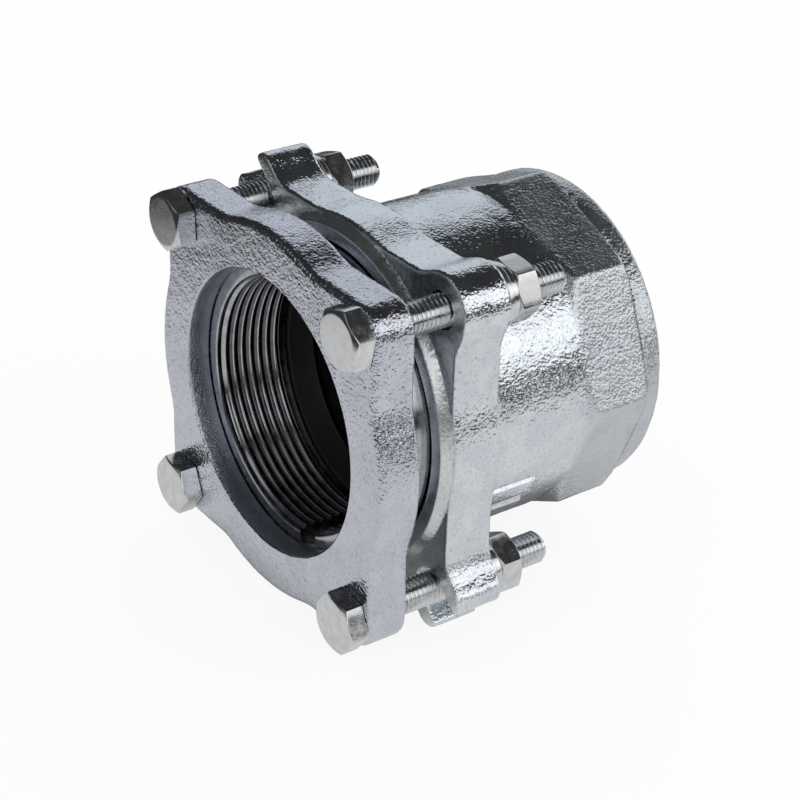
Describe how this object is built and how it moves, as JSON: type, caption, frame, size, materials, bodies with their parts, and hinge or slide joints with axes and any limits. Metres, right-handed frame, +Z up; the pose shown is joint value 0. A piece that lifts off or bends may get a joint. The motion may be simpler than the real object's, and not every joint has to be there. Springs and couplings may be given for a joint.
{
  "type": "pipe clamp connector",
  "caption": "Threaded pipe socket with a bolted clamp flange, serrated grip ring and seal that hold a plain pipe end.",
  "frame": {"origin": "centre of the threaded mouth, on the pipe axis, level with the mouth's end face", "axes": "+Y along the pipe axis out of the threaded mouth, +Z up, +X to the right as seen from the clamp end"},
  "size_m": [0.1204, 0.1174, 0.1204],
  "materials": {
    "body_zinc": "zinc plated rough casting",
    "clamp_zinc": "zinc plated casting with a faint lilac tint",
    "dark_steel": "dark oiled steel, glossy",
    "ring_steel": "zinc plated turned steel",
    "seal_rubber": "smooth black rubber",
    "bolt_zinc": "bright zinc plated steel"
  },
  "bodies": {
    "socket": {"socket_body": "body_zinc", "seal_ring": "seal_rubber", "washer_upper_left": "bolt_zinc", "washer_upper_right": "bolt_zinc", "washer_lower_left": "bolt_zinc", "washer_lower_right": "bolt_zinc", "spring_washer_upper_left": "bolt_zinc", "spring_washer_upper_right": "bolt_zinc", "spring_washer_lower_left": "bolt_zinc", "spring_washer_lower_right": "bolt_zinc"},
    "clamp": {"clamp_flange": "clamp_zinc", "bolt_upper_left": "bolt_zinc", "bolt_upper_right": "bolt_zinc", "bolt_lower_left": "bolt_zinc", "bolt_lower_right": "bolt_zinc"},
    "rings": {"grip_ring": "dark_steel", "thrust_ring": "ring_steel"},
    "nut_ul": {"nut_upper_left": "bolt_zinc"},
    "nut_ur": {"nut_upper_right": "bolt_zinc"},
    "nut_ll": {"nut_lower_left": "bolt_zinc"},
    "nut_lr": {"nut_lower_right": "bolt_zinc"}
  },
  "joints": [
    {"name": "clamp_slide", "type": "slide", "parent": "socket", "child": "clamp", "axis": [0, 1, 0], "range_m": [-0.0015, 0.003]},
    {"name": "ring_slide", "type": "slide", "parent": "socket", "child": "rings", "axis": [0, 1, 0], "range_m": [-0.00136, 0.00271], "deforming": ["seal_ring"]},
    {"name": "nut_ul_turn", "type": "hinge", "parent": "socket", "child": "nut_ul", "pos_m": [-0.04575, -0.0578, 0.04575], "axis": [0, -1, 0], "range_deg": [-361, 721]},
    {"name": "nut_ur_turn", "type": "hinge", "parent": "socket", "child": "nut_ur", "pos_m": [0.04575, -0.0578, 0.04575], "axis": [0, -1, 0], "range_deg": [-361, 721]},
    {"name": "nut_ll_turn", "type": "hinge", "parent": "socket", "child": "nut_ll", "pos_m": [-0.04575, -0.0578, -0.04575], "axis": [0, -1, 0], "range_deg": [-361, 721]},
    {"name": "nut_lr_turn", "type": "hinge", "parent": "socket", "child": "nut_lr", "pos_m": [0.04575, -0.0578, -0.04575], "axis": [0, -1, 0], "range_deg": [-361, 721]}
  ],
  "couplings": [
    {"joint": "ring_slide", "follows": "clamp_slide", "ratio": 0.9},
    {"joint": "nut_ul_turn", "follows": "clamp_slide", "rad_per_m": 4188.8},
    {"joint": "nut_ur_turn", "follows": "clamp_slide", "rad_per_m": 4188.8},
    {"joint": "nut_ll_turn", "follows": "clamp_slide", "rad_per_m": 4188.8},
    {"joint": "nut_lr_turn", "follows": "clamp_slide", "rad_per_m": 4188.8}
  ]
}
